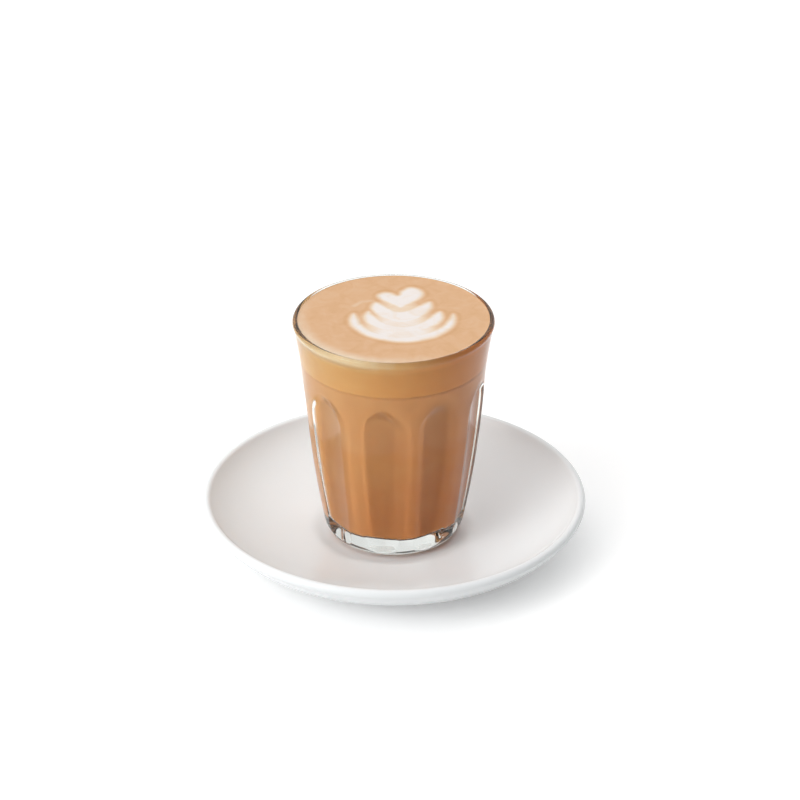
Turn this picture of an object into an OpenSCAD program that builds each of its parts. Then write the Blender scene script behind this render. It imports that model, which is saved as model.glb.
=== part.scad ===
// A full cortado glass on its saucer: a pressed, fluted tumbler that stands in
// the well of a glazed saucer and holds milky coffee, microfoam and a poured tulip.
// The origin is on the table under the middle of the saucer, +Z up, front at -Y.

/* [Tumbler] */
// Outer diameter of the lip
rim_d = 76; // [70:0.5:84]
// Height of the tumbler from its foot to its lip
glass_h = 90.5; // [84:0.5:100]
// Thickness of the round lip
lip_t = 2.4; // [2:0.1:3.4]
// How far the lip stands proud of the wall under it
lip_bead = 0.3; // [0:0.05:0.6]
// Height of the plain flared band, from the lip down to the shoulder
band_h = 25; // [20:0.5:30]
// How far the band flares out, from the shoulder to the lip
band_flare = 3.4; // [2:0.1:5]
// How far the point that draws the wall's curve lies inside the shoulder
bulge_in = 2.3; // [1:0.1:4]
// Height of that point above the foot
bulge_h = 30; // [24:0.5:34]
// Outer diameter of the foot, measured at its sharp corner
foot_d = 51.2; // [48:0.2:56]
// Rounding of the foot's outer corner
foot_round = 6.5; // [3:0.1:7.5]
// Thickness of the wall where it carries no flute
wall_t = 4.2; // [3.6:0.1:5]
// Thickness of the heavy base under the drink
base_t = 7.8; // [6:0.1:10]
// Rounding between the inside wall and the inside floor
bowl_round = 3; // [2:0.5:12]
// Width of the flat ring that the tumbler stands on
stand_w = 2.2; // [1:0.1:5]
// Depth of the hollow pressed into the underside, inside that ring
punt_h = 0.3; // [0.2:0.1:2]

/* [Flutes] */
// Number of flutes round the wall
flute_count = 9; // [7:1:10]
// Radius of a flute's hollow, measured across it
flute_r = 40; // [30:1:80]
// Depth of a flute at its arched end
flute_depth = 2; // [1.2:0.05:2.3]
// Depth of a flute where it runs out at the foot
flute_foot_depth = 0.9; // [0.2:0.05:1.2]
// Drop from the lip to the tops of the arches
arch_drop = 21; // [18:0.5:26]
// Angle at which an arch runs in from the wall, in degrees
arch_slope = 24; // [16:1:32]
// Direction of the first flute, in degrees from +X
flute_turn = -100; // [-180:1:180]

/* [Drink] */
// Drop from the lip to the top of the foam
brim_gap = 0.4; // [0.3:0.1:6]
// Depth of the microfoam on the coffee
foam_t = 16; // [8:0.5:20]
// Depth of the white pours in the foam
pour_t = 1.2; // [0.6:0.1:3]
// Clearance between the drink and the glass
drink_gap = 0.05; // [0.02:0.01:0.2]

/* [Saucer] */
// Outer diameter of the saucer
saucer_d = 147.6; // [140:0.5:160]
// Height of the saucer's rim above the table
saucer_h = 20; // [18:0.5:24]
// Thickness of the saucer's bowl
saucer_t = 4.2; // [3.6:0.1:5]
// Radius of the round rim edge
saucer_rim_r = 1.8; // [1.4:0.1:2.2]
// Diameter at which the bowl turns upwards
turn_d = 128; // [122:0.5:134]
// Height of the underside at that turn
turn_h = 3.6; // [3:0.1:5]
// Outer diameter of the foot ring
ring_d = 84; // [76:0.5:96]
// Width of the foot ring
ring_w = 5; // [4:0.1:7]
// Height of the foot ring inside
ring_h = 1.8; // [1:0.1:2.4]
// Height at which the foot ring meets the bowl outside
ring_rise = 2.8; // [2:0.1:3.2]
// Rounding of the foot ring's edges
ring_round = 0.6; // [0.3:0.1:1]
// Thickness of the floor that the tumbler stands on
floor_t = 3.2; // [2.8:0.1:4]
// Room all round the tumbler's foot in the well
well_clear = 3.5; // [3:0.1:8]
// Depth of the well
well_depth = 1; // [0.6:0.1:1.8]
// Width of the well's sloping edge
well_edge = 4; // [1:0.1:5]

/* [Hidden] */
$fn = 96;
// Straight pieces in each drawn curve, and along each stretch of a pour's outline
curve_steps = 12;
corner_steps = 6;
pour_steps = 5;
// How far a cut runs past what it cuts
overrun = 1;
// How the saucer's round rim leans outwards, in degrees
rim_lean = 34;
// How far the shoulder's tangent is carried up before the band flares
flare_share = 0.26;
// How late down the wall a flute gets shallower
fade_power = 2.2;
// Place half way down the wall
half_share = 0.5;
// Straight pieces in a whole turn of the large ring that hollows a flute
sweep_steps = 360;

// Heights above the table
seat_z = ring_h + floor_t;
foam_z = seat_z + glass_h - brim_gap;

// Outline of the tumbler's wall, as [radius, height above its foot]
shoulder = [rim_d / 2 - band_flare, glass_h - band_h];
bulge = [shoulder.x - bulge_in, bulge_h];
foot_corner = [foot_d / 2, 0];
lip_mid = [(rim_d - lip_t) / 2, glass_h - lip_t / 2];
lip_turn = acos(1 - 2 * lip_bead / lip_t);
wall_top = lip_mid + [cos(lip_turn), -sin(lip_turn)] * lip_t / 2;
flare = shoulder + flare_share * (shoulder - bulge);
drink_r = rim_d / 2 - lip_t - drink_gap;

// A quarter-bend from a to c drawn towards b
function bend(a, b, c, t) = (1 - t) * (1 - t) * a + 2 * t * (1 - t) * b + t * t * c;
function bend_points(a, b, c, steps) = [for (i = [0 : steps]) bend(a, b, c, i / steps)];
function on_circle(middle, r, angle) = middle + r * [cos(angle), sin(angle)];
function arc_points(middle, r, from, to, steps) =
    [for (i = [0 : steps]) on_circle(middle, r, from + (to - from) * i / steps)];

// The fluted wall runs from the shoulder (0) to the foot's corner (1)
function wall(t) = bend(shoulder, bulge, foot_corner, t);
// Place along the wall at a height above the foot
function wall_at(height) =
    let (a = shoulder.y - 2 * bulge.y, b = 2 * (shoulder.y - bulge.y), c = shoulder.y - height)
    2 * c / (b + sqrt(b * b - 4 * a * c));
foot_from = 1 - foot_round / (2 * bulge_h);

wall_outline = concat(
    bend_points([foot_d / 2 - foot_round, 0], foot_corner, wall(foot_from), corner_steps),
    [for (i = [1 : curve_steps]) wall(foot_from * (1 - i / curve_steps))],
    [for (i = [1 : curve_steps]) bend(shoulder, flare, wall_top, i / curve_steps)],
    arc_points(lip_mid, lip_t / 2, -lip_turn, 180, 2 * corner_steps));

// Outline of the inside, from the lip down to the middle of the floor, drawn in by gap
function wall_in(gap) = [wall_t + gap, 0];
function inside(gap) =
    let (turn_from = wall_at(base_t + bowl_round), low = wall(wall_at(base_t)) - wall_in(gap),
         floor_z = base_t + gap, top = [rim_d / 2 - lip_t - gap, lip_mid.y])
    concat(
        [for (i = [1 : curve_steps])
            bend(top, flare - wall_in(gap), shoulder - wall_in(gap), i / curve_steps)],
        [for (i = [1 : curve_steps]) wall(turn_from * i / curve_steps) - wall_in(gap)],
        [for (i = [1 : corner_steps])
            bend(wall(turn_from) - wall_in(gap), [low.x, floor_z],
                 [low.x - bowl_round, floor_z], i / corner_steps)],
        [[0, floor_z]]);

// Middle of the circle through three places
function circle_mid(a, b, c) =
    let (turn = 2 * (a.x * (b.y - c.y) + b.x * (c.y - a.y) + c.x * (a.y - b.y)))
    [a * a * (b.y - c.y) + b * b * (c.y - a.y) + c * c * (a.y - b.y),
     a * a * (c.x - b.x) + b * b * (a.x - c.x) + c * c * (b.x - a.x)] / turn;

// The deepest line of a flute, as [radius, height], and the circle that it follows down the wall
function flute_floor(t) =
    wall(t) - [flute_depth + (flute_foot_depth - flute_depth) * pow(t, fade_power), 0];
sweep_mid = circle_mid(flute_floor(0), flute_floor(half_share), flute_floor(1));
sweep_r = norm(flute_floor(0) - sweep_mid);
// The ring that hollows a flute lies outside that line, whichever way the wall curves
sweep_side = sign(flute_floor(half_share).x - sweep_mid.x);
ring_mid_r = sweep_r + sweep_side * flute_r;
flute_lean = atan2(shoulder.x - bulge.x, shoulder.y - bulge.y);
arch_run = flute_depth / tan(arch_slope);
arch_r = sqrt(2 * flute_depth / (1 / shoulder.x + 1 / flute_r));
arch_z = glass_h - arch_drop - arch_run - arch_r;
arch_mid = flute_floor(wall_at(arch_z));

// A smooth closed line through places that are given as shares of the drink's radius
function smooth(a, b, c, d, t) =
    b + t * (c - a + t * (2 * a - 5 * b + 4 * c - d + t * (3 * b - a - 3 * c + d))) / 2;
function smooth_loop(points) =
    let (n = len(points))
    [for (i = [0 : n - 1], k = [0 : pour_steps - 1])
        smooth(points[(i + n - 1) % n], points[i], points[(i + 1) % n], points[(i + 2) % n], k / pour_steps)];

// Outlines of the pours, as shares of the drink's radius: outer side, right tip, inner side
base_shares = [
    [-0.42, 0.13], [-0.47, 0.00], [-0.44, -0.19], [-0.26, -0.42], [0.08, -0.55], [0.40, -0.46],
    [0.60, -0.25], [0.66, -0.02], [0.63, 0.12], [0.58, -0.02], [0.51, -0.17], [0.35, -0.31],
    [0.08, -0.395], [-0.18, -0.31], [-0.32, -0.14], [-0.37, 0.01]];
lower_leaf_shares = [
    [-0.27, 0.18], [-0.325, 0.04], [-0.28, -0.13], [-0.14, -0.27], [0.08, -0.35], [0.32, -0.28],
    [0.47, -0.14], [0.53, 0.02], [0.50, 0.17], [0.41, 0.09], [0.33, -0.03], [0.21, -0.125],
    [0.08, -0.16], [-0.07, -0.10], [-0.16, 0.01], [-0.22, 0.11]];
upper_leaf_shares = [
    [-0.20, 0.39], [-0.245, 0.25], [-0.18, 0.07], [-0.06, -0.06], [0.08, -0.12], [0.22, -0.06],
    [0.33, 0.06], [0.41, 0.25], [0.39, 0.40], [0.28, 0.32], [0.17, 0.235], [0.07, 0.175],
    [-0.03, 0.235], [-0.11, 0.33]];
heart_shares = [
    [0.07, 0.235], [-0.04, 0.335], [-0.14, 0.44], [-0.18, 0.55], [-0.11, 0.625], [-0.02, 0.61],
    [0.045, 0.555], [0.085, 0.66], [0.18, 0.745], [0.28, 0.70], [0.325, 0.57], [0.25, 0.42],
    [0.16, 0.315]];

// Height on the tumbler of the line where the foam meets the coffee
foam_line = glass_h - brim_gap - foam_t;

module saucer() {
    rim_mid = [saucer_d / 2 - saucer_rim_r, saucer_h - saucer_rim_r];
    ring_out = ring_d / 2;
    ring_in = ring_out - ring_w;
    turn = [turn_d / 2, turn_h];
    bowl_in = [turn.x - saucer_t * sin(rim_lean), turn.y + saucer_t];
    well_r = foot_d / 2 + well_clear;
    well_top = [well_r + well_edge / 2, seat_z + well_depth];
    color("whitesmoke")
    rotate_extrude()
    polygon(concat(
        [[0, ring_h], [ring_in - ring_round, ring_h], [ring_in, ring_h - ring_round], [ring_in, ring_round],
         [ring_in + ring_round, 0], [ring_out - ring_round, 0], [ring_out, ring_round]],
        bend_points([ring_out, ring_rise], turn, on_circle(rim_mid, saucer_rim_r, -rim_lean), curve_steps),
        arc_points(rim_mid, saucer_rim_r, -rim_lean, 180 - rim_lean, 2 * corner_steps),
        bend_points(on_circle(rim_mid, saucer_rim_r, 180 - rim_lean), bowl_in, well_top, curve_steps),
        [[well_r - well_edge / 2, seat_z], [0, seat_z]]));
}

// The hollow of one flute facing +X: a large ring's round side, inside the flute's arch
module flute() {
    clear_r = rim_d / 2 + overrun;
    arch_deep = clear_r - arch_mid.x;
    intersection() {
        translate([sweep_mid.x, 0, sweep_mid.y])
        rotate([90, 0, 0])
        rotate_extrude($fn = sweep_steps)
        translate([ring_mid_r, 0])
        circle(r = flute_r);
        union() {
            translate([0, -rim_d / 2, -overrun])
            cube([clear_r, rim_d, arch_z + overrun]);
            translate([arch_mid.x, 0, arch_z])
            rotate([0, 90 + flute_lean, 0])
            cylinder(h = arch_deep, r1 = arch_r, r2 = arch_r + arch_deep / tan(arch_slope));
        }
    }
}

module tumbler() {
    punt_r = foot_d / 2 - foot_round - stand_w;
    color("lightcyan", 0.5)
    translate([0, 0, seat_z])
    difference() {
        rotate_extrude()
        polygon(concat(
            [[0, punt_h], [punt_r - 2 * punt_h, punt_h], [punt_r, 0]], wall_outline, inside(0)));
        for (i = [0 : flute_count - 1])
            rotate([0, 0, flute_turn + i * 360 / flute_count])
            flute();
    }
}

// The whole drink between two heights on the tumbler
module drink(from, to) {
    translate([0, 0, seat_z])
    intersection() {
        rotate_extrude()
        polygon(concat([[0, glass_h], [drink_r, glass_h], [drink_r, lip_mid.y]], inside(drink_gap)));
        translate([0, 0, from])
        cylinder(h = to - from, d = rim_d);
    }
}

module milk_coffee() {
    color("peru")
    drink(0, foam_line);
}

// One white pour, let into the foam and flush with its top
module pour(shares) {
    translate([0, 0, foam_z - pour_t])
    linear_extrude(height = pour_t)
    polygon(drink_r * smooth_loop(shares));
}

module microfoam() {
    color("burlywood")
    difference() {
        drink(foam_line, glass_h - brim_gap);
        for (shares = [base_shares, lower_leaf_shares, upper_leaf_shares, heart_shares])
            pour(shares);
    }
}

module tulip_base() {
    color("seashell")
    pour(base_shares);
}

module tulip_lower_leaf() {
    color("seashell")
    pour(lower_leaf_shares);
}

module tulip_upper_leaf() {
    color("seashell")
    pour(upper_leaf_shares);
}

module tulip_heart() {
    color("seashell")
    pour(heart_shares);
}

saucer();
tumbler();
milk_coffee();
microfoam();
tulip_base();
tulip_lower_leaf();
tulip_upper_leaf();
tulip_heart();
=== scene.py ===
"""A cortado as served: a fluted glass tumbler of milky coffee with a poured tulip, on its saucer."""

import math

import bpy
import numpy as np
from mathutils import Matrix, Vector


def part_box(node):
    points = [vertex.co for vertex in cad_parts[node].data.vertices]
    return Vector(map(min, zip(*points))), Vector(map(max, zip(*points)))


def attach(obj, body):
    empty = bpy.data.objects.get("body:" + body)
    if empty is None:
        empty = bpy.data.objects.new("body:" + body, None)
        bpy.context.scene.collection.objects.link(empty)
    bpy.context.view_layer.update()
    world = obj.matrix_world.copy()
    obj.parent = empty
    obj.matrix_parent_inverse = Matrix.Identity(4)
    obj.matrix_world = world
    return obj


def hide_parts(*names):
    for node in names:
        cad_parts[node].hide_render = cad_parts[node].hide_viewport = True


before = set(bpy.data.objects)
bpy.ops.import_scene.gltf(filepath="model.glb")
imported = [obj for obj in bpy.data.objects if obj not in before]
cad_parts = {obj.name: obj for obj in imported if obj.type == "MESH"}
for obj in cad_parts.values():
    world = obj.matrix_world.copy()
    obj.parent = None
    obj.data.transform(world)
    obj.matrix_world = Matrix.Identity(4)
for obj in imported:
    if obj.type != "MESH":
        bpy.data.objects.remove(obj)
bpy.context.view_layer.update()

# Outer sizes, in metres, taken from the frame
saucer_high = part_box("saucer")[1]
tumbler_low, tumbler_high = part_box("tumbler")
foam_low, foam_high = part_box("microfoam")
SEAT_Z = tumbler_low.z
RIM_R = tumbler_high.x
GLASS_H = tumbler_high.z - tumbler_low.z
FOAM_Z = foam_high.z
FOAM_LINE_Z = foam_low.z
SAUCER_R = saucer_high.x
SAUCER_H = saucer_high.z

# The tumbler's own sizes, in metres
LIP_T = 0.0024
LIP_BEAD = 0.0003
BAND_H = 0.025
BAND_FLARE = 0.0034
BULGE_IN = 0.0023
BULGE_H = 0.030
FOOT_R = 0.0256
FOOT_ROUND = 0.0065
WALL_T = 0.0042
BASE_T = 0.0078
BOWL_ROUND = 0.003
STAND_W = 0.0022
PUNT_R = FOOT_R - FOOT_ROUND - STAND_W
PUNT_H = 0.0003
PUNT_ROUND = 0.0003
# How far the shoulder's tangent is carried up before the band flares
FLARE_SHARE = 0.26

# How strongly the glass bends light into air, and the drink as it lies against the glass
GLASS_IOR = 1.5
DRINK_IOR = 1.28

# The flutes: their hollow, how late down the wall they get shallower, their arches and softened edges
FLUTE_COUNT = 9
FLUTE_TURN = math.radians(-100)
FLUTE_R = 0.040
FLUTE_DEPTH = 0.0020
FLUTE_FOOT_DEPTH = 0.0009
FADE_POWER = 2.2
ARCH_DROP = 0.021
ARCH_SLOPE = math.radians(24)
RIDGE_SOFT = 0.00016
ARCH_SOFT = 0.0006

# The drink: its clearance, the foam that clings to the lip, its curved edge, and the pours let into it
DRINK_GAP = 0.00005
FOAM_CLING = 0.00006
CLING_H = 0.005
MENISCUS_H = 0.0002
MENISCUS_W = 0.0018
MENISCUS_DRAW_SHARE = 0.25
POUR_T = 0.0012
POUR_CROWN = 0.00006
POUR_SINK = 0.00002
POUR_SHOULDER = 0.0016
POUR_GRID = 0.00035
POUR_EDGE_ANGLE = math.radians(40)

# The saucer: its bowl, the place where the bowl turns upwards, its foot ring and its well
SAUCER_T = 0.0042
SAUCER_RIM_R = 0.0018
RIM_LEAN = math.radians(34)
BOWL_TURN = Vector((0.064, 0.0036))
RING_OUT_R = 0.042
RING_W = 0.005
RING_H = 0.0018
RING_RISE = 0.0028
RING_ROUND = 0.0006
RING_BLEND_SHARE = 0.03
WELL_CLEAR = 0.0035
WELL_R = FOOT_R + WELL_CLEAR
WELL_DEPTH = 0.0010
WELL_EDGE = 0.0040
WELL_ROUND = 0.0018

# How finely the pieces are turned, in sectors that match the flutes
SECTORS = FLUTE_COUNT
GLASS_SEGMENTS = 60 * SECTORS
DRINK_SEGMENTS = 27 * SECTORS
SAUCER_SEGMENTS = 28 * SECTORS
MERGE_GAP = 0.000002

# How many steps each curve of an outline has
ROUND_STEPS = 4
LIP_STEPS = 22
FOOT_STEPS = 8
FLUTE_STEPS = 34
ARCH_STEPS = 18
BAND_STEPS = 24
INNER_BAND_STEPS = 12
INNER_SIDE_STEPS = 20
BOWL_STEPS = 12
FOAM_TOP_STEPS = 88
MENISCUS_STEPS = 6
FOAM_LIP_STEPS = 3
POUR_STEPS = 8
SAUCER_RIM_STEPS = 16
SAUCER_OUTSIDE_STEPS = 40
SAUCER_INSIDE_STEPS = 44
WELL_STEPS = 8
# The saucer's inside passes over to the well's edge this many points before its end
WELL_START_POINTS = 3
# Radius of a ring of points on the tumbler's flat floor, as a share of the radius inside the wall there
FLOOR_RING_SHARE = 1 / 3

# The photograph's view: the camera stands in front of the glass and looks down at it
CAMERA_PLACE = (0.0024, -1.150, 0.6785)
CAMERA_TILT = math.radians(61.745)
CAMERA_LENS_MM = 154.7
SENSOR_MM = 36

# Points of the tumbler's outline, as radius and height above its foot
shoulder = Vector((RIM_R - BAND_FLARE, GLASS_H - BAND_H))
bulge = Vector((shoulder.x - BULGE_IN, BULGE_H))
foot_corner = Vector((FOOT_R, 0))
lip_mid = Vector((RIM_R - LIP_T / 2, GLASS_H - LIP_T / 2))
flare = shoulder + FLARE_SHARE * (shoulder - bulge)
drink_r = RIM_R - LIP_T
flute_lean = (shoulder.x - bulge.x) / (shoulder.y - bulge.y)
arch_r = math.sqrt(2 * FLUTE_DEPTH / (1 / shoulder.x + 1 / FLUTE_R))
arch_h = GLASS_H - ARCH_DROP - FLUTE_DEPTH / math.tan(ARCH_SLOPE) - arch_r

# Outlines of the four pours, as shares of the drink's radius, in the order in which they are poured
BASE_SHARES = (
    (-0.42, 0.13), (-0.47, 0.00), (-0.44, -0.19), (-0.26, -0.42), (0.08, -0.55), (0.40, -0.46),
    (0.60, -0.25), (0.66, -0.02), (0.63, 0.12), (0.58, -0.02), (0.51, -0.17), (0.35, -0.31),
    (0.08, -0.395), (-0.18, -0.31), (-0.32, -0.14), (-0.37, 0.01))
LOWER_LEAF_SHARES = (
    (-0.27, 0.18), (-0.325, 0.04), (-0.28, -0.13), (-0.14, -0.27), (0.08, -0.35), (0.32, -0.28),
    (0.47, -0.14), (0.53, 0.02), (0.50, 0.17), (0.41, 0.09), (0.33, -0.03), (0.21, -0.125),
    (0.08, -0.16), (-0.07, -0.10), (-0.16, 0.01), (-0.22, 0.11))
UPPER_LEAF_SHARES = (
    (-0.20, 0.39), (-0.245, 0.25), (-0.18, 0.07), (-0.06, -0.06), (0.08, -0.12), (0.22, -0.06),
    (0.33, 0.06), (0.41, 0.25), (0.39, 0.40), (0.28, 0.32), (0.17, 0.235), (0.07, 0.175),
    (-0.03, 0.235), (-0.11, 0.33))
HEART_SHARES = (
    (0.07, 0.235), (-0.04, 0.335), (-0.14, 0.44), (-0.18, 0.55), (-0.11, 0.625), (-0.02, 0.61),
    (0.045, 0.555), (0.085, 0.66), (0.18, 0.745), (0.28, 0.70), (0.325, 0.57), (0.25, 0.42),
    (0.16, 0.315))
POURS = {
    "tulip_base": BASE_SHARES,
    "tulip_lower_leaf": LOWER_LEAF_SHARES,
    "tulip_upper_leaf": UPPER_LEAF_SHARES,
    "tulip_heart": HEART_SHARES,
}
# A faint swirl that the first pour dragged up and to the left, its half width in metres, and how milky it is
SWIRL_SHARES = ((-0.22, 0.42), (-0.34, 0.40), (-0.42, 0.30))
SWIRL_W = 0.0018
SWIRL_STRENGTH = 0.20
# How far a pour's edge is blurred and lies inside its outline, and how far out and how much the crema beside
# it is pushed dark
EDGE_SOFT = 0.0016
EDGE_IN = 0.0005
HALO_W = 0.0014
HALO_STRENGTH = 0.35
# Pours that meet blend in the middle: how near they come, where the middle is, for each pair how much and how
# far out, and the share of both lengths in which the blend is full
BLEND_W = 0.0024
BLEND_X_SHARE = 0.08
BLENDS = ((0.90, 0.50), (0.75, 0.38), (0.50, 0.28))
BLEND_FULL_SHARE = 1 / 3
# Values of the pour attribute, up to 1 in a pour: the foam's side on the glass, painted lit on its left, and
# the band of painted light on it, crema that a pour pushed dark, bare foam, and milk that thins out at the
# edge of a pour
SIDE_FOAM_PAINTED_LIT = 0.1
PAINTED_LIGHT_SIDE = 0.2
DARK_CREMA = 0.3
BARE_FOAM = 0.42
THIN_MILK = 0.7
# Painted light: the foam is paler along the glass towards the front left, where the key light falls, in a
# ring on its top and in a band on its side
PAINTED_LIGHT_TURN = math.radians(-130)
PAINTED_LIGHT_RING_W = 0.006
PAINTED_LIGHT_RING = 0.28
PAINTED_LIGHT_BAND_H = 0.006


def linear(hex_colour):
    """An sRGB colour written as #rrggbb, as linear red, green, blue and alpha."""
    parts = [int(hex_colour[i:i + 2], 16) / 255 for i in (1, 3, 5)]
    return tuple(c / 12.92 if c <= 0.04045 else ((c + 0.055) / 1.055) ** 2.4 for c in parts) + (1.0,)


def shares(steps):
    """The places 0 to 1 in equal steps."""
    return [i / steps for i in range(steps + 1)]


def bend_at(a, b, c, t):
    """The place t along the curve from a to c that is drawn towards b."""
    return (1 - t) ** 2 * a + 2 * t * (1 - t) * b + t * t * c


def bend(a, b, c, steps):
    """Points along that curve, ends included."""
    return [bend_at(a, b, c, t) for t in shares(steps)]


def arc(middle, r, start, end, steps):
    """Points along an arc, with its angles in radians."""
    turns = [start + (end - start) * t for t in shares(steps)]
    return [middle + r * Vector((math.cos(a), math.sin(a))) for a in turns]


def rounded(corners, r, steps=ROUND_STEPS):
    """A line through corners, with each inner corner rounded over a length r to both sides."""
    points = [corners[0]]
    for before, corner, after in zip(corners, corners[1:], corners[2:]):
        start = corner + r * (before - corner).normalized()
        end = corner + r * (after - corner).normalized()
        points += bend(start, corner, end, steps)
    return points + [corners[-1]]


def soft_min(a, b, width):
    """The smaller of a and b, rounded off where they cross."""
    near = max(width - abs(a - b), 0) / width
    return min(a, b) - near * near * width / 4


def smooth_step(low, high, values):
    """Rises smoothly from 0 at low to 1 at high."""
    t = np.clip((values - low) / (high - low), 0, 1)
    return t * t * (3 - 2 * t)


def turn(name, outline, height, segments):
    """Turn an outline of (radius, height) points, from axis to axis, into a closed piece."""
    bpy.ops.object.select_all(action="DESELECT")
    # A tiny plane, merged to a point, starts the outline
    bpy.ops.mesh.primitive_plane_add(size=MERGE_GAP)
    piece = bpy.context.object
    piece.name = name
    bpy.ops.object.mode_set(mode="EDIT")
    bpy.ops.mesh.merge(type="CENTER")
    bpy.ops.transform.translate(value=(outline[0].x, 0, outline[0].y + height))
    for here, there in zip(outline, outline[1:]):
        step = there - here
        bpy.ops.mesh.extrude_region_move(TRANSFORM_OT_translate={"value": (step.x, 0, step.y)})
    # One sector is spun, and then copied round the axis
    bpy.ops.mesh.select_all(action="SELECT")
    sector = math.tau / SECTORS
    bpy.ops.mesh.spin(steps=segments // SECTORS, angle=sector, axis=(0, 0, 1))
    bpy.ops.mesh.select_all(action="SELECT")
    bpy.ops.mesh.spin(steps=SECTORS - 1, dupli=True, angle=math.tau - sector, axis=(0, 0, 1))
    bpy.ops.mesh.select_all(action="SELECT")
    bpy.ops.mesh.remove_doubles(threshold=MERGE_GAP)
    bpy.ops.mesh.normals_make_consistent(inside=False)
    bpy.ops.object.mode_set(mode="OBJECT")
    bpy.ops.object.shade_smooth()
    return piece


def finish_piece(piece, body, node, slot, *materials):
    """Give a piece its materials and body, in place of its CAD node; its record slot is not used."""
    for material in materials:
        piece.data.materials.append(material)
    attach(piece, body)
    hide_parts(node)


# The tumbler

def wall_share(h):
    """Place along the fluted wall, from 0 at the shoulder to 1 at the foot, at a height."""
    a = shoulder.y - 2 * bulge.y
    b = 2 * (shoulder.y - bulge.y)
    c = shoulder.y - h
    return 2 * c / (b + math.sqrt(b * b - 4 * a * c))


def wall(t):
    """The point at a place along the fluted wall."""
    return bend_at(shoulder, bulge, foot_corner, t)


def flute_floor(h):
    """Distance from the axis to the middle of a flute's floor, at a height above the foot."""
    if h > shoulder.y:
        return shoulder.x - FLUTE_DEPTH + (h - shoulder.y) * flute_lean
    t = wall_share(max(h, 0))
    return wall(t).x - FLUTE_DEPTH - (FLUTE_FOOT_DEPTH - FLUTE_DEPTH) * t ** FADE_POWER


def flute_reach(h, across):
    """Distance from the axis to a flute's floor or arched end, at a height and a place across it."""
    rise = max(h - arch_h, 0)
    past_arch = math.hypot(across, rise) - arch_r if rise else -arch_r
    run_out = -soft_min(0, -past_arch, ARCH_SOFT)
    return flute_floor(h) + FLUTE_R - math.sqrt(FLUTE_R ** 2 - across ** 2) + run_out * math.tan(ARCH_SLOPE)


def press_flutes(glass):
    """Press the flutes into the turned wall, as the mould does: each point moves straight inwards."""
    pitch = math.tau / FLUTE_COUNT
    for vertex in glass.data.vertices:
        r = math.hypot(vertex.co.x, vertex.co.y)
        angle = math.atan2(vertex.co.y, vertex.co.x) - FLUTE_TURN
        off_middle = (angle + pitch / 2) % pitch - pitch / 2
        h = vertex.co.z - SEAT_Z
        reach = flute_reach(h, r * math.sin(off_middle)) / math.cos(off_middle)
        if reach - r < RIDGE_SOFT:
            pressed = soft_min(r, reach, RIDGE_SOFT) / r
            vertex.co.x *= pressed
            vertex.co.y *= pressed


def wet_inside(glass):
    """Give the faces that the drink lies against the second of the glass's materials."""
    # They look in towards the axis, or up from the floor, and end where the foam does
    for face in glass.data.polygons:
        looks_in = face.normal.xy.dot(face.center.xy) < MERGE_GAP
        if looks_in and BASE_T - PUNT_H < face.center.z - SEAT_Z < FOAM_Z + MENISCUS_H - SEAT_Z:
            face.material_index = 1


def inside_outline(out):
    """The tumbler's inside from the lip's middle to the middle of the floor, moved out into the glass."""
    thick = Vector((WALL_T - out, 0))
    floor_h = BASE_T - out
    low_r = wall(wall_share(BASE_T)).x - thick.x
    turn_share = wall_share(BASE_T + BOWL_ROUND)
    band = bend(Vector((drink_r + out, lip_mid.y)), flare - thick, shoulder - thick, INNER_BAND_STEPS)
    side = [wall(turn_share * t) - thick for t in shares(INNER_SIDE_STEPS)]
    corner = bend(wall(turn_share) - thick, Vector((low_r, floor_h)),
                  Vector((low_r - BOWL_ROUND, floor_h)), BOWL_STEPS)
    floor = [Vector((low_r * FLOOR_RING_SHARE, floor_h)), Vector((0, floor_h))]
    return band + side[1:] + corner[1:] + floor


def make_tumbler():
    """The tumbler, turned from its underside up to the lip and down its inside, then fluted."""
    foot_share = 1 - FOOT_ROUND / (2 * BULGE_H)
    arch_share = wall_share(arch_h)
    lip_turn = math.acos(1 - 2 * LIP_BEAD / LIP_T)
    stand = Vector((FOOT_R - FOOT_ROUND, 0))
    punt = rounded([Vector((0, PUNT_H)), Vector((PUNT_R - 2 * PUNT_H, PUNT_H)), Vector((PUNT_R, 0)), stand],
                   PUNT_ROUND)
    foot = bend(stand, foot_corner, wall(foot_share), FOOT_STEPS)
    straight = [wall(foot_share + (arch_share - foot_share) * t) for t in shares(FLUTE_STEPS)]
    arched = [wall(arch_share * (1 - t)) for t in shares(ARCH_STEPS)]
    lip = arc(lip_mid, LIP_T / 2, -lip_turn, math.pi, LIP_STEPS)
    band = bend(shoulder, flare, lip[0], BAND_STEPS)
    outline = punt[:-1] + foot + straight[1:] + arched[1:] + band[1:] + lip[1:] + inside_outline(0)[1:]
    glass = turn("pressed_tumbler", outline, SEAT_Z, GLASS_SEGMENTS)
    press_flutes(glass)
    wet_inside(glass)
    return glass


# The drink

def lip_inside(z):
    """Inner radius of the round lip at a height above the table."""
    up = z - SEAT_Z - lip_mid.y
    return lip_mid.x - math.sqrt((LIP_T / 2) ** 2 - up * up)


def drink_side():
    """The side and bottom of the drink, from the lip's middle down, in heights above the table."""
    # The foam clings to the lip, and lower down the drink keeps its clearance
    clinging, loose = inside_outline(FOAM_CLING), inside_outline(-DRINK_GAP)
    side = [wet if wet.y > GLASS_H - CLING_H else dry for wet, dry in zip(clinging, loose)]
    return [p + Vector((0, SEAT_Z)) for p in side]


def side_at(z):
    """The place on the drink's side at a height above the table."""
    above = [p for p in drink_side() if p.y > z][-1]
    below = [p for p in drink_side() if p.y <= z][0]
    return above.lerp(below, (above.y - z) / (above.y - below.y))


def make_coffee():
    """The coffee, from the foam line down to the tumbler's floor."""
    top = [Vector((0, FOAM_LINE_Z)), side_at(FOAM_LINE_Z)]
    side = [p for p in drink_side() if p.y < FOAM_LINE_Z]
    return turn("coffee_fill", top + side, 0, DRINK_SEGMENTS)


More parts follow.
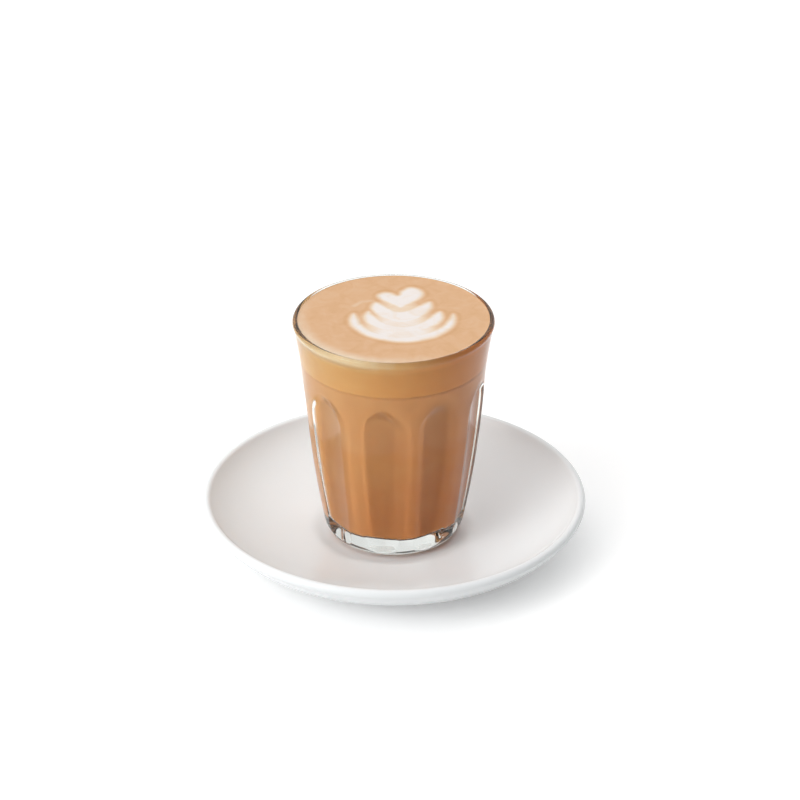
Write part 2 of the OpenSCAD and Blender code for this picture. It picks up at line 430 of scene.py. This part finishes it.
def make_foam():
    """The foam, from its top, over the edge that climbs the lip, down to the foam line."""
    contact_z = FOAM_Z + MENISCUS_H
    lip_z = SEAT_Z + lip_mid.y
    contact = Vector((lip_inside(contact_z) + FOAM_CLING, contact_z))
    flat_r = contact.x - MENISCUS_W
    meniscus = bend(Vector((flat_r, FOAM_Z)), Vector((contact.x - MENISCUS_DRAW_SHARE * MENISCUS_W, FOAM_Z)),
                    contact, MENISCUS_STEPS)
    top = [Vector((t * flat_r, FOAM_Z)) for t in shares(FOAM_TOP_STEPS)]
    falling = [contact_z + (lip_z - contact_z) * t for t in shares(FOAM_LIP_STEPS)]
    side = [Vector((lip_inside(z) + FOAM_CLING, z)) for z in falling[1:-1]]
    side += [p for p in drink_side() if p.y > FOAM_LINE_Z]
    bottom = [side_at(FOAM_LINE_Z), Vector((0, FOAM_LINE_Z))]
    cap = turn("foam_cap", top + meniscus[1:] + side + bottom, 0, DRINK_SEGMENTS)
    mark(cap, foam_shade(np.array([v.co for v in cap.data.vertices]), contact.x))
    return cap


def foam_shade(places, edge_r):
    """The foam's shade at each place: the pours and a ring of painted light on its top, and on its side
    painted light to the left and a band of painted light.
    """
    toward_light = np.clip(np.cos(np.arctan2(places[:, 1], places[:, 0]) - PAINTED_LIGHT_TURN), 0, 1) ** 2
    near_wall = smooth_step(edge_r - PAINTED_LIGHT_RING_W, edge_r, np.linalg.norm(places[:, :2], axis=1))
    near_top = smooth_step(FOAM_Z - PAINTED_LIGHT_BAND_H, FOAM_Z, places[:, 2])
    # Painted light: the top is paler in a ring along the glass, and the side in a band at its top, towards
    # the front left where the key light falls
    top_shade = pour_shade(places[:, :2]) + PAINTED_LIGHT_RING * near_wall * toward_light
    # Painted light: the foam's side is lighter on its left, towards the key light, and darker on its right
    side_shade = SIDE_FOAM_PAINTED_LIT * (1 - places[:, 0] / drink_r) / 2
    side_shade += (PAINTED_LIGHT_SIDE - side_shade) * near_top * toward_light
    return np.where(places[:, 2] > FOAM_Z - MERGE_GAP, top_shade, side_shade)


def loop_through(points):
    """A smooth closed line through points given as shares of the drink's radius."""
    p = np.array(points) * drink_r
    a, b, c, d = np.roll(p, 1, 0), p, np.roll(p, -1, 0), np.roll(p, -2, 0)
    stretches = [b + t * (c - a + t * (2 * a - 5 * b + 4 * c - d + t * (3 * b - a - 3 * c + d))) / 2
                 for t in shares(POUR_STEPS)[:-1]]
    return np.stack(stretches, 1).reshape(-1, 2)


def nearest_on(line, places, closed=True):
    """For each place, the nearest point of a line, and the distance to it."""
    ends = np.roll(line, -1, 0) if closed else line[1:]
    best = np.full(len(places), np.inf)
    nearest = np.zeros_like(places)
    for a, b in zip(line, ends):
        t = np.clip((places - a) @ (b - a) / ((b - a) @ (b - a)), 0, 1)
        found = a + t[:, None] * (b - a)
        gap = np.linalg.norm(places - found, axis=1)
        nearer = gap < best
        best[nearer] = gap[nearer]
        nearest[nearer] = found[nearer]
    return nearest, best


def depth_in(loop, places):
    """Distance from each place to a closed line, positive inside it."""
    gap = nearest_on(loop, places)[1]
    inside = np.zeros(len(places), bool)
    for a, b in zip(loop, np.roll(loop, -1, 0)):
        level = (a[1] > places[:, 1]) != (b[1] > places[:, 1])
        rise = b[1] - a[1] if b[1] != a[1] else MERGE_GAP
        inside ^= level & (places[:, 0] < a[0] + (places[:, 1] - a[1]) / rise * (b[0] - a[0]))
    return np.where(inside, gap, -gap)


def pour_shade(places):
    """How milky the top of the drink is at each (x, y): BARE_FOAM on plain foam and 1 in a pour."""
    depths = [depth_in(loop_through(points), places) for points in POURS.values()]
    deepest = np.max(depths, axis=0)
    swirl_gap = nearest_on(np.array(SWIRL_SHARES) * drink_r, places, closed=False)[1]
    swirl = SWIRL_STRENGTH * (1 - smooth_step(0, SWIRL_W, swirl_gap))
    milk = np.maximum(smooth_step(EDGE_IN - EDGE_SOFT, EDGE_IN + EDGE_SOFT, deepest), swirl)
    off_middle = abs(places[:, 0] / drink_r - BLEND_X_SHARE)
    for (strength, reach), lower, upper in zip(BLENDS, depths, depths[1:]):
        between = smooth_step(-BLEND_W, -BLEND_W * BLEND_FULL_SHARE, (lower + upper) / 2)
        fade = 1 - smooth_step(reach * BLEND_FULL_SHARE, reach, off_middle)
        milk = np.maximum(milk, strength * between * fade)
    halo = smooth_step(-2 * HALO_W, -HALO_W, deepest) * (1 - smooth_step(-HALO_W, 0, deepest))
    return BARE_FOAM - (BARE_FOAM - DARK_CREMA) * HALO_STRENGTH * halo + (1 - BARE_FOAM) * milk


def mark(piece, shade):
    """Keep a shade on a piece's points, for its material."""
    attribute = piece.data.attributes.new("pour", "FLOAT", "POINT")
    attribute.data.foreach_set("value", shade.astype(np.float32))


def cut_pad(name, loop):
    """A flat grid at the foam's top, cut to the faces inside a loop, with the points on its edge selected."""
    low, high = loop.min(0) - POUR_GRID, loop.max(0) + POUR_GRID
    size, middle = high - low, (high + low) / 2
    bpy.ops.object.select_all(action="DESELECT")
    bpy.ops.mesh.primitive_grid_add(x_subdivisions=round(size[0] / POUR_GRID),
                                    y_subdivisions=round(size[1] / POUR_GRID), size=1)
    pad = bpy.context.object
    pad.name = name
    bpy.ops.object.mode_set(mode="EDIT")
    bpy.ops.transform.resize(value=(size[0], size[1], 1))
    bpy.ops.transform.translate(value=(middle[0], middle[1], FOAM_Z))
    bpy.ops.mesh.select_all(action="DESELECT")
    bpy.ops.mesh.select_mode(type="FACE")
    bpy.ops.object.mode_set(mode="OBJECT")
    centres = np.array([face.center[:2] for face in pad.data.polygons])
    for face, depth in zip(pad.data.polygons, depth_in(loop, centres)):
        face.select = bool(depth < 0)
    bpy.ops.object.mode_set(mode="EDIT")
    bpy.ops.mesh.delete(type="FACE")
    bpy.ops.mesh.select_mode(type="VERT")
    bpy.ops.mesh.select_all(action="SELECT")
    bpy.ops.mesh.region_to_loop()
    bpy.ops.object.mode_set(mode="OBJECT")
    return pad


def make_pour(name, points):
    """One pour: a thin crowned pad with soft edges, let into the foam."""
    loop = loop_through(points)
    pad = cut_pad(name, loop)
    places = np.array([v.co[:2] for v in pad.data.vertices])
    on_edge = np.array([v.select for v in pad.data.vertices])
    places[on_edge] = nearest_on(loop, places[on_edge])[0]
    depths = np.where(on_edge, 0, np.maximum(depth_in(loop, places), 0))
    rise = 1 - (1 - np.clip(depths / POUR_SHOULDER, 0, 1)) ** 2
    for vertex, place, lift in zip(pad.data.vertices, places, rise):
        vertex.co = (*place, FOAM_Z - POUR_SINK + POUR_CROWN * lift)
    mark(pad, pour_shade(places))
    thickness = pad.modifiers.new("depth", "SOLIDIFY")
    thickness.thickness = POUR_T
    thickness.offset = -1
    bpy.ops.object.modifier_apply(modifier=thickness.name)
    bpy.ops.object.shade_smooth_by_angle(angle=POUR_EDGE_ANGLE)
    return pad


# The saucer

def make_saucer():
    """The saucer, turned from its underside out over the foot ring and the rim, and in to the well."""
    rim_mid = Vector((SAUCER_R - SAUCER_RIM_R, SAUCER_H - SAUCER_RIM_R))
    rim = arc(rim_mid, SAUCER_RIM_R, -RIM_LEAN, math.pi - RIM_LEAN, SAUCER_RIM_STEPS)
    ring_in = RING_OUT_R - RING_W
    ring_top = Vector((RING_OUT_R, RING_RISE))
    # The bowl's outside goes on from where the foot ring's rounding leads into it
    bowl_start = bend_at(ring_top, BOWL_TURN, rim[0], RING_BLEND_SHARE)
    bowl_in = BOWL_TURN + Vector((-SAUCER_T * math.sin(RIM_LEAN), SAUCER_T))
    well_top = Vector((WELL_R + WELL_EDGE / 2, SEAT_Z + WELL_DEPTH))
    well_low = Vector((WELL_R - WELL_EDGE / 2, SEAT_Z))
    under = rounded([Vector((0, RING_H)), Vector((ring_in, RING_H)), Vector((ring_in, 0)),
                     Vector((RING_OUT_R, 0)), ring_top, bowl_start], RING_ROUND)
    outside = [p for p in bend(ring_top, BOWL_TURN, rim[0], SAUCER_OUTSIDE_STEPS) if p.x > bowl_start.x]
    inside = bend(rim[-1], bowl_in, well_top, SAUCER_INSIDE_STEPS)
    well = rounded([inside[-WELL_START_POINTS], well_top, well_low, Vector((0, SEAT_Z))],
                   WELL_ROUND, WELL_STEPS)
    outline = under[:-1] + outside + rim[1:] + inside[1:-WELL_START_POINTS] + well
    return turn("porcelain_saucer", outline, 0, SAUCER_SEGMENTS)


# Materials

MM_PER_M = 1000
# Sizes of the patterns in the materials, in millimetres
GLASS_WAVE_MM = 9
MILK_DRIFT_MM = 11
FOAM_DRIFT_MM = 6
CREMA_BUBBLE_MM = 0.5
MILK_BUBBLE_MM = 0.4
GLAZE_PEEL_MM = 8
GLAZE_CLOUD_MM = 35
# Depths of the waviness and of the bubbles, in metres
GLASS_WAVE_DEPTH = 0.0002
BUBBLE_DEPTH = 0.00005
GLAZE_PEEL_DEPTH = 0.0002
# Tints of the glass's mirror reflections, in air and where the drink wets it
GLASS_MIRROR = "#bcbcbc"
WET_MIRROR = "#000000"
# How much milkier the coffee is at its top and in its drifts, and how much painted light makes it lighter on
# the left
MILK_AT_TOP = 0.6
MILK_IN_DRIFT = 0.35
PAINTED_LIGHT_AT_LEFT = 0.4
# How far the foam's tone varies from place to place
FOAM_MOTTLE = 0.1
# How rough the glass is at its clearest and haziest, the two foams and how far they vary, and the porcelain
# where it is bare and where it is glazed
GLASS_CLEAREST = 0.005
GLASS_HAZIEST = 0.03
CREMA_ROUGHNESS = 0.5
MILK_ROUGHNESS = 0.45
FOAM_ROUGHNESS_SPREAD = 0.08
BARE_ROUGHNESS = 0.75
GLAZE_ROUGHNESS = 0.2


def add(tree, kind, sockets=(), **settings):
    """Add a node with its settings. Each socket gets a value, or a link from another node's output."""
    node = tree.nodes.new(kind)
    for name, value in settings.items():
        setattr(node, name, value)
    for name, value in dict(sockets).items():
        if isinstance(value, bpy.types.NodeSocket):
            tree.links.new(value, node.inputs[name])
        else:
            node.inputs[name].default_value = value
    return node


def new_material(name):
    """A node material with nothing in its tree yet, and the tree."""
    material = bpy.data.materials.new(name)
    material.use_nodes = True
    tree = material.node_tree
    tree.nodes.clear()
    return material, tree


def pressed_glass(name, ior, mirror):
    # Soda-lime glass, pressed in a mould and fire-polished: clear, hard reflections, a faint waviness
    material, tree = new_material(name)
    place = add(tree, "ShaderNodeTexCoord").outputs["Object"]
    waves = add(tree, "ShaderNodeTexNoise", {
        "Vector": place, "Scale": MM_PER_M / GLASS_WAVE_MM, "Detail": 1.0})
    bump = add(tree, "ShaderNodeBump", {
        "Height": waves.outputs["Fac"], "Strength": 0.12, "Distance": GLASS_WAVE_DEPTH})
    haze = add(tree, "ShaderNodeMapRange", {
        "Value": waves.outputs["Fac"], "To Min": GLASS_CLEAREST, "To Max": GLASS_HAZIEST})
    glass = add(tree, "ShaderNodeBsdfPrincipled", {
        "Base Color": linear("#f6faf7"), "Roughness": haze.outputs["Result"], "IOR": ior,
        "Transmission Weight": 1.0, "Specular Tint": linear(mirror), "Normal": bump.outputs["Normal"]})
    add(tree, "ShaderNodeOutputMaterial", {"Surface": glass.outputs["BSDF"]})
    return material


def milky_coffee():
    # Espresso and steamed milk: an opaque liquid that wets the glass, so it has no shine of its own.
    # It is darker and redder low down, with soft drifts of milk about a centimetre across, and painted light
    # makes it lighter on the left and darker on the right
    material, tree = new_material("milky_coffee")
    spot = add(tree, "ShaderNodeTexCoord").outputs["Object"]
    place = add(tree, "ShaderNodeSeparateXYZ", {"Vector": spot})
    level = add(tree, "ShaderNodeMapRange", {
        "Value": place.outputs["Z"], "From Min": SEAT_Z + BASE_T, "From Max": FOAM_LINE_Z,
        "To Max": MILK_AT_TOP})
    drift = add(tree, "ShaderNodeTexNoise", {
        "Vector": spot, "Scale": MM_PER_M / MILK_DRIFT_MM, "Detail": 3.0, "Roughness": 0.45,
        "Distortion": 0.6})
    tone = add(tree, "ShaderNodeMath", {
        0: drift.outputs["Fac"], 1: MILK_IN_DRIFT, 2: level.outputs["Result"]}, operation="MULTIPLY_ADD")
    # Painted light: the coffee is made lighter on its left, where the key light falls, and darker on its
    # right
    milk_and_painted_light = add(tree, "ShaderNodeMath", {
        0: place.outputs["X"], 1: -PAINTED_LIGHT_AT_LEFT / drink_r, 2: tone.outputs["Value"]},
        operation="MULTIPLY_ADD")
    colour = add(tree, "ShaderNodeValToRGB", {"Fac": milk_and_painted_light.outputs["Value"]})
    colour.color_ramp.elements[0].color = linear("#dd8347")
    colour.color_ramp.elements[1].color = linear("#eeb379")
    liquid = add(tree, "ShaderNodeBsdfPrincipled", {
        "Base Color": colour.outputs["Color"], "Roughness": 0.6, "Specular IOR Level": 0.0})
    add(tree, "ShaderNodeOutputMaterial", {"Surface": liquid.outputs["BSDF"]})
    return material


def steamed_foam(name, roughness, bubble_mm):
    # Steamed milk foam of bubbles too small to see, tinted by crema: satin, faintly mottled.
    # The bubbles are drawn several times their size so that they show
    material, tree = new_material(name)
    place = add(tree, "ShaderNodeTexCoord").outputs["Object"]
    pour = add(tree, "ShaderNodeAttribute", attribute_name="pour").outputs["Fac"]
    drift = add(tree, "ShaderNodeTexNoise", {
        "Vector": place, "Scale": MM_PER_M / FOAM_DRIFT_MM, "Detail": 4.0, "Roughness": 0.55,
        "Distortion": 0.8})
    spread = add(tree, "ShaderNodeMapRange", {
        "Value": drift.outputs["Fac"], "From Min": 0.3, "From Max": 0.7,
        "To Min": 1 - FOAM_MOTTLE, "To Max": 1 + FOAM_MOTTLE})
    tone = add(tree, "ShaderNodeMath", {0: pour, 1: spread.outputs["Result"]}, operation="MULTIPLY")
    colour = add(tree, "ShaderNodeValToRGB", {"Fac": tone.outputs["Value"]})
    ramp = colour.color_ramp
    ramp.elements[0].color = linear("#e98b30")
    ramp.elements[1].color = linear("#f3ebe6")
    # The foam's side runs from dark orange, painted shaded on its right, to light orange, painted lit on its
    # left, and to pale cream in the band of painted light at the front left
    ramp.elements.new(SIDE_FOAM_PAINTED_LIT).color = linear("#fdc983")
    ramp.elements.new(PAINTED_LIGHT_SIDE).color = linear("#ffefcc")
    ramp.elements.new(DARK_CREMA).color = linear("#d29f6c")
    ramp.elements.new(BARE_FOAM).color = linear("#e0b389")
    ramp.elements.new(THIN_MILK).color = linear("#edd5ba")
    bubbles = add(tree, "ShaderNodeTexVoronoi", {"Vector": place, "Scale": MM_PER_M / bubble_mm})
    bump = add(tree, "ShaderNodeBump", {
        "Height": bubbles.outputs["Distance"], "Strength": 0.15, "Distance": BUBBLE_DEPTH})
    gloss = add(tree, "ShaderNodeMapRange", {
        "Value": drift.outputs["Fac"], "To Min": roughness - FOAM_ROUGHNESS_SPREAD,
        "To Max": roughness + FOAM_ROUGHNESS_SPREAD})
    skin = add(tree, "ShaderNodeBsdfPrincipled", {
        "Base Color": colour.outputs["Color"], "Roughness": gloss.outputs["Result"],
        "Specular IOR Level": 0.2, "Normal": bump.outputs["Normal"]})
    add(tree, "ShaderNodeOutputMaterial", {"Surface": skin.outputs["BSDF"]})
    return material


def white_glazed_porcelain():
    # Hotel porcelain under a clear glaze: cool white, glossy, a faint orange-peel waviness.
    # The foot ring is wiped bare before firing, so it is matt and creamier
    material, tree = new_material("white_glazed_porcelain")
    place = add(tree, "ShaderNodeTexCoord").outputs["Object"]
    height = add(tree, "ShaderNodeSeparateXYZ", {"Vector": place}).outputs["Z"]
    glazed = add(tree, "ShaderNodeMapRange", {
        "Value": height, "From Min": RING_ROUND, "From Max": 2 * RING_ROUND}).outputs["Result"]
    peel = add(tree, "ShaderNodeTexNoise", {
        "Vector": place, "Scale": MM_PER_M / GLAZE_PEEL_MM, "Detail": 2.0})
    cloud = add(tree, "ShaderNodeTexNoise", {
        "Vector": place, "Scale": MM_PER_M / GLAZE_CLOUD_MM, "Detail": 2.0})
    body = add(tree, "ShaderNodeValToRGB", {"Fac": cloud.outputs["Fac"]})
    body.color_ramp.elements[0].color = linear("#f0f3f4")
    body.color_ramp.elements[1].color = linear("#f5f8f9")
    colour = add(tree, "ShaderNodeMix", {
        "Factor": glazed, "A": linear("#d9d2c4"), "B": body.outputs["Color"]}, data_type="RGBA")
    gloss = add(tree, "ShaderNodeMapRange", {
        "Value": glazed, "To Min": BARE_ROUGHNESS, "To Max": GLAZE_ROUGHNESS})
    bump = add(tree, "ShaderNodeBump", {
        "Height": peel.outputs["Fac"], "Strength": 0.1, "Distance": GLAZE_PEEL_DEPTH})
    skin = add(tree, "ShaderNodeBsdfPrincipled", {
        "Base Color": colour.outputs["Result"], "Roughness": gloss.outputs["Result"],
        "Normal": bump.outputs["Normal"]})
    add(tree, "ShaderNodeOutputMaterial", {"Surface": skin.outputs["BSDF"]})
    return material


# The studio

# Width of the floor in metres, and how much it glows for rays that look at it: it is white beyond the shadow
FLOOR_SIZE = 8.0
FLOOR_GLOW = 0.28
# The strength at which the background is white
WHITE_STRENGTH = 1.0
# A ray's bounces are counted in ones, so fewer than this is none
FIRST_BOUNCE = 0.5
# Soft lights, as the direction that each comes from, its strength, and how narrow it is
KEY_LIGHT = ((-0.69, -0.53, 0.48), 7.7, 20)
TOP_LIGHT = ((-0.15, 0.10, 0.98), 1.52, 2)
BACK_LIGHT = ((0, 0.90, 0.42), 0.5, 2)
FILL_STRENGTH = 0.05


def seen_directly(tree):
    """1 on rays that look at a surface, in a mirror or through glass too, and 0 on rays that gather light."""
    path = add(tree, "ShaderNodeLightPath")
    mirrored = add(tree, "ShaderNodeMath", {
        0: path.outputs["Is Glossy Ray"], 1: path.outputs["Is Transmission Ray"]}, operation="MAXIMUM")
    looking = add(tree, "ShaderNodeMath", {
        0: path.outputs["Is Camera Ray"], 1: mirrored.outputs["Value"]}, operation="MAXIMUM")
    unscattered = add(tree, "ShaderNodeMath", {
        0: path.outputs["Diffuse Depth"], 1: FIRST_BOUNCE}, operation="LESS_THAN")
    seen = add(tree, "ShaderNodeMath", {
        0: looking.outputs["Value"], 1: unscattered.outputs["Value"]}, operation="MULTIPLY")
    return seen.outputs["Value"]


def make_floor():
    """A plain floor of white paper, which keeps the object's shadow."""
    bpy.ops.object.select_all(action="DESELECT")
    bpy.ops.mesh.primitive_plane_add(size=FLOOR_SIZE)
    floor = bpy.context.object
    floor.name = "studio_floor"
    material, tree = new_material("white_paper_sweep")
    paper = add(tree, "ShaderNodeBsdfDiffuse", {"Color": linear("#f4f4f4")})
    lift = add(tree, "ShaderNodeMath", {0: seen_directly(tree), 1: FLOOR_GLOW}, operation="MULTIPLY")
    glow = add(tree, "ShaderNodeEmission", {"Strength": lift.outputs["Value"]})
    both = add(tree, "ShaderNodeAddShader", {0: paper.outputs["BSDF"], 1: glow.outputs["Emission"]})
    add(tree, "ShaderNodeOutputMaterial", {"Surface": both.outputs["Shader"]})
    floor.data.materials.append(material)


def make_light():
    """A soft studio: a key light from the front left, broad weaker ones from above and behind, and a fill."""
    world = bpy.data.worlds.new("soft_studio")
    bpy.context.scene.world = world
    world.use_nodes = True
    tree = world.node_tree
    tree.nodes.clear()
    direction = add(tree, "ShaderNodeTexCoord").outputs["Generated"]
    level = FILL_STRENGTH
    for from_where, strength, narrowness in (KEY_LIGHT, TOP_LIGHT, BACK_LIGHT):
        facing = add(tree, "ShaderNodeVectorMath", {
            0: direction, 1: Vector(from_where).normalized()}, operation="DOT_PRODUCT")
        front = add(tree, "ShaderNodeMath", {0: facing.outputs["Value"], 1: 0.0}, operation="MAXIMUM")
        lobe = add(tree, "ShaderNodeMath", {0: front.outputs["Value"], 1: narrowness}, operation="POWER")
        level = add(tree, "ShaderNodeMath", {
            0: lobe.outputs["Value"], 1: strength, 2: level}, operation="MULTIPLY_ADD").outputs["Value"]
    # Rays that look see a white background, or a light where that is brighter
    at_least_white = add(tree, "ShaderNodeMath", {0: level, 1: WHITE_STRENGTH}, operation="MAXIMUM")
    light = add(tree, "ShaderNodeBackground", {"Strength": level})
    white = add(tree, "ShaderNodeBackground", {"Strength": at_least_white.outputs["Value"]})
    shown = add(tree, "ShaderNodeMixShader", {
        0: seen_directly(tree), 1: light.outputs["Background"], 2: white.outputs["Background"]})
    add(tree, "ShaderNodeOutputWorld", {"Surface": shown.outputs["Shader"]})


def make_camera():
    """The photograph's camera: a long lens, looking down at the glass."""
    bpy.ops.object.camera_add(location=CAMERA_PLACE, rotation=(CAMERA_TILT, 0, 0))
    camera = bpy.context.object
    camera.data.lens = CAMERA_LENS_MM
    camera.data.sensor_width = SENSOR_MM
    bpy.context.scene.camera = camera


make_camera()
make_light()
make_floor()
bpy.context.scene.view_settings.view_transform = "Standard"
# Reflections and light through the glass aren't blurred after a soft bounce
bpy.context.scene.cycles.blur_glossy = 0.0

finish_piece(make_saucer(), "saucer", "saucer", "glazed_porcelain", white_glazed_porcelain())
finish_piece(make_tumbler(), "glass", "tumbler", "pressed_glass",
             pressed_glass("clear_pressed_glass", GLASS_IOR, GLASS_MIRROR),
             pressed_glass("clear_pressed_glass_on_drink", GLASS_IOR / DRINK_IOR, WET_MIRROR))
finish_piece(make_coffee(), "glass", "milk_coffee", "milk_coffee", milky_coffee())
finish_piece(make_foam(), "glass", "microfoam", "crema_foam",
             steamed_foam("crema_microfoam", CREMA_ROUGHNESS, CREMA_BUBBLE_MM))
milk_foam = steamed_foam("white_milk_foam", MILK_ROUGHNESS, MILK_BUBBLE_MM)
for node, points in POURS.items():
    finish_piece(make_pour(node + "_pour", points), "glass", node, "milk_foam", milk_foam)
